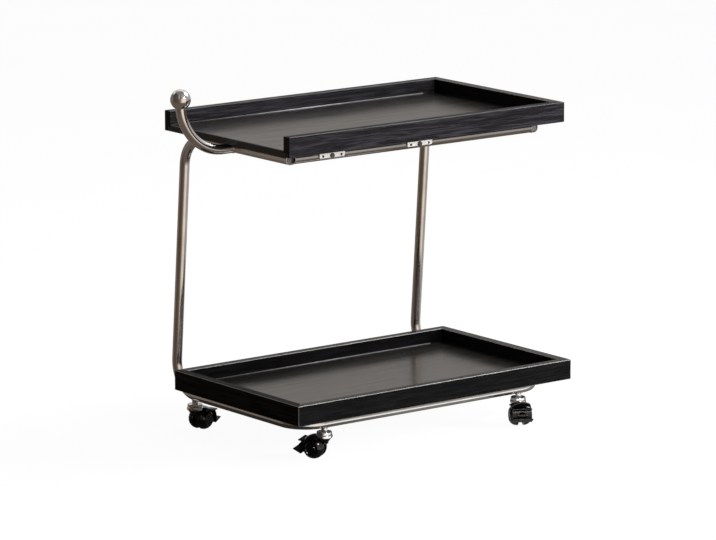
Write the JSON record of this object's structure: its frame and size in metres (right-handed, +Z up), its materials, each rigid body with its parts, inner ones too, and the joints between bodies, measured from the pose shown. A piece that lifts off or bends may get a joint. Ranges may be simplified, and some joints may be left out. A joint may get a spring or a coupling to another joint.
{
  "type": "rolling side table",
  "caption": "Two-tier rolling side table: black wood trays on a C-shaped bent steel tube frame with an upturned ball handle and braked twin-wheel casters.",
  "frame": {"origin": "on the floor, under the middle of the whole object's outline", "axes": "+Z up; -Y is the long open side away from the posts; -X is the end with the handle and the upper tray's open end"},
  "size_m": [0.7547, 0.4513, 0.6805],
  "materials": {
    "satin_tube": "satin polished stainless, warm grey",
    "polished_ball": "polished",
    "bright_chrome": "polished plating",
    "bracket_steel": "bright zinc",
    "fastener_steel": "plain bright",
    "black_nylon": "moulded, matte",
    "black_wood_rail": "open-grain, black stained, satin lacquer",
    "black_wood_panel": "open-grain veneer, black stained, satin lacquer",
    "caster_black": "moulded, glossy",
    "wheel_black": "moulded, half gloss"
  },
  "bodies": {
    "frame": {"base_front_tube": "satin_tube", "bracket_left": "bracket_steel", "bracket_right": "bracket_steel", "bracket_tube_screws": "fastener_steel", "bracket_wood_screws": "fastener_steel", "caster_front_left_stem": "fastener_steel", "caster_front_right_stem": "fastener_steel", "caster_rear_left_stem": "fastener_steel", "caster_rear_right_stem": "fastener_steel", "caster_sockets": "satin_tube", "handle_ball": "polished_ball", "handle_tube": "satin_tube", "lower_tray_bolts": "fastener_steel", "lower_tray_front_rail": "black_wood_rail", "lower_tray_left_rail": "black_wood_rail", "lower_tray_panel": "black_wood_panel", "lower_tray_rear_rail": "black_wood_rail", "lower_tray_right_rail": "black_wood_rail", "lower_tray_spacers": "black_nylon", "side_tube_left": "satin_tube", "side_tube_right": "satin_tube", "top_front_tube": "satin_tube", "tube_end_plugs": "black_nylon", "upper_tray_bolts": "fastener_steel", "upper_tray_front_rail": "black_wood_rail", "upper_tray_panel": "black_wood_panel", "upper_tray_rear_rail": "black_wood_rail", "upper_tray_right_rail": "black_wood_rail", "upper_tray_spacers": "black_nylon"},
    "front_left_swivel": {"caster_front_left_axle": "fastener_steel", "caster_front_left_hood": "caster_black", "caster_front_left_swivel_ring": "bright_chrome"},
    "front_left_wheel_a": {"caster_front_left_wheel_a": "wheel_black"},
    "front_left_wheel_b": {"caster_front_left_wheel_b": "wheel_black"},
    "front_left_brake": {"caster_front_left_brake_pedal": "caster_black"},
    "front_right_swivel": {"caster_front_right_axle": "fastener_steel", "caster_front_right_hood": "caster_black", "caster_front_right_swivel_ring": "bright_chrome"},
    "front_right_wheel_a": {"caster_front_right_wheel_a": "wheel_black"},
    "front_right_wheel_b": {"caster_front_right_wheel_b": "wheel_black"},
    "front_right_brake": {"caster_front_right_brake_pedal": "caster_black"},
    "rear_left_swivel": {"caster_rear_left_axle": "fastener_steel", "caster_rear_left_hood": "caster_black", "caster_rear_left_swivel_ring": "bright_chrome"},
    "rear_left_wheel_a": {"caster_rear_left_wheel_a": "wheel_black"},
    "rear_left_wheel_b": {"caster_rear_left_wheel_b": "wheel_black"},
    "rear_left_brake": {"caster_rear_left_brake_pedal": "caster_black"},
    "rear_right_swivel": {"caster_rear_right_axle": "fastener_steel", "caster_rear_right_hood": "caster_black", "caster_rear_right_swivel_ring": "bright_chrome"},
    "rear_right_wheel_a": {"caster_rear_right_wheel_a": "wheel_black"},
    "rear_right_wheel_b": {"caster_rear_right_wheel_b": "wheel_black"},
    "rear_right_brake": {"caster_rear_right_brake_pedal": "caster_black"}
  },
  "joints": [
    {"name": "front_left_swivel_turn", "type": "hinge", "parent": "frame", "child": "front_left_swivel", "pos_m": [-0.17965, -0.16855, 0.0404], "axis": [0, 0, 1], "continuous": true},
    {"name": "front_left_wheel_a_roll", "type": "hinge", "parent": "front_left_swivel", "child": "front_left_wheel_a", "pos_m": [-0.18971, -0.15363, 0.02], "axis": [-0.829, -0.5592, 0], "continuous": true},
    {"name": "front_left_wheel_b_roll", "type": "hinge", "parent": "front_left_swivel", "child": "front_left_wheel_b", "pos_m": [-0.18971, -0.15363, 0.02], "axis": [-0.829, -0.5592, 0], "continuous": true},
    {"name": "front_left_brake_press", "type": "hinge", "parent": "front_left_swivel", "child": "front_left_brake", "pos_m": [-0.20411, -0.13229, 0.02362], "axis": [-0.829, -0.5592, 0], "range_deg": [0, 8]},
    {"name": "front_right_swivel_turn", "type": "hinge", "parent": "frame", "child": "front_right_swivel", "pos_m": [0.28435, -0.16855, 0.0404], "axis": [0, 0, 1], "continuous": true},
    {"name": "front_right_wheel_a_roll", "type": "hinge", "parent": "front_right_swivel", "child": "front_right_wheel_a", "pos_m": [0.2759, -0.18445, 0.02], "axis": [0.8829, -0.4695, 0], "continuous": true},
    {"name": "front_right_wheel_b_roll", "type": "hinge", "parent": "front_right_swivel", "child": "front_right_wheel_b", "pos_m": [0.2759, -0.18445, 0.02], "axis": [0.8829, -0.4695, 0], "continuous": true},
    {"name": "front_right_brake_press", "type": "hinge", "parent": "front_right_swivel", "child": "front_right_brake", "pos_m": [0.26381, -0.20718, 0.02362], "axis": [0.8829, -0.4695, 0], "range_deg": [0, 8]},
    {"name": "rear_left_swivel_turn", "type": "hinge", "parent": "frame", "child": "rear_left_swivel", "pos_m": [-0.23635, 0.15915, 0.0404], "axis": [0, 0, 1], "continuous": true},
    {"name": "rear_left_wheel_a_roll", "type": "hinge", "parent": "rear_left_swivel", "child": "rear_left_wheel_a", "pos_m": [-0.21905, 0.16411, 0.02], "axis": [-0.2756, 0.9613, 0], "continuous": true},
    {"name": "rear_left_wheel_b_roll", "type": "hinge", "parent": "rear_left_swivel", "child": "rear_left_wheel_b", "pos_m": [-0.21905, 0.16411, 0.02], "axis": [-0.2756, 0.9613, 0], "continuous": true},
    {"name": "rear_left_brake_press", "type": "hinge", "parent": "rear_left_swivel", "child": "rear_left_brake", "pos_m": [-0.1943, 0.1712, 0.02362], "axis": [-0.2756, 0.9613, 0], "range_deg": [0, 8]},
    {"name": "rear_right_swivel_turn", "type": "hinge", "parent": "frame", "child": "rear_right_swivel", "pos_m": [0.34105, 0.15915, 0.0404], "axis": [0, 0, 1], "continuous": true},
    {"name": "rear_right_wheel_a_roll", "type": "hinge", "parent": "rear_right_swivel", "child": "rear_right_wheel_a", "pos_m": [0.33792, 0.17687, 0.02], "axis": [-0.9848, -0.1736, 0], "continuous": true},
    {"name": "rear_right_wheel_b_roll", "type": "hinge", "parent": "rear_right_swivel", "child": "rear_right_wheel_b", "pos_m": [0.33792, 0.17687, 0.02], "axis": [-0.9848, -0.1736, 0], "continuous": true},
    {"name": "rear_right_brake_press", "type": "hinge", "parent": "rear_right_swivel", "child": "rear_right_brake", "pos_m": [0.33345, 0.20223, 0.02362], "axis": [-0.9848, -0.1736, 0], "range_deg": [0, 8]}
  ]
}
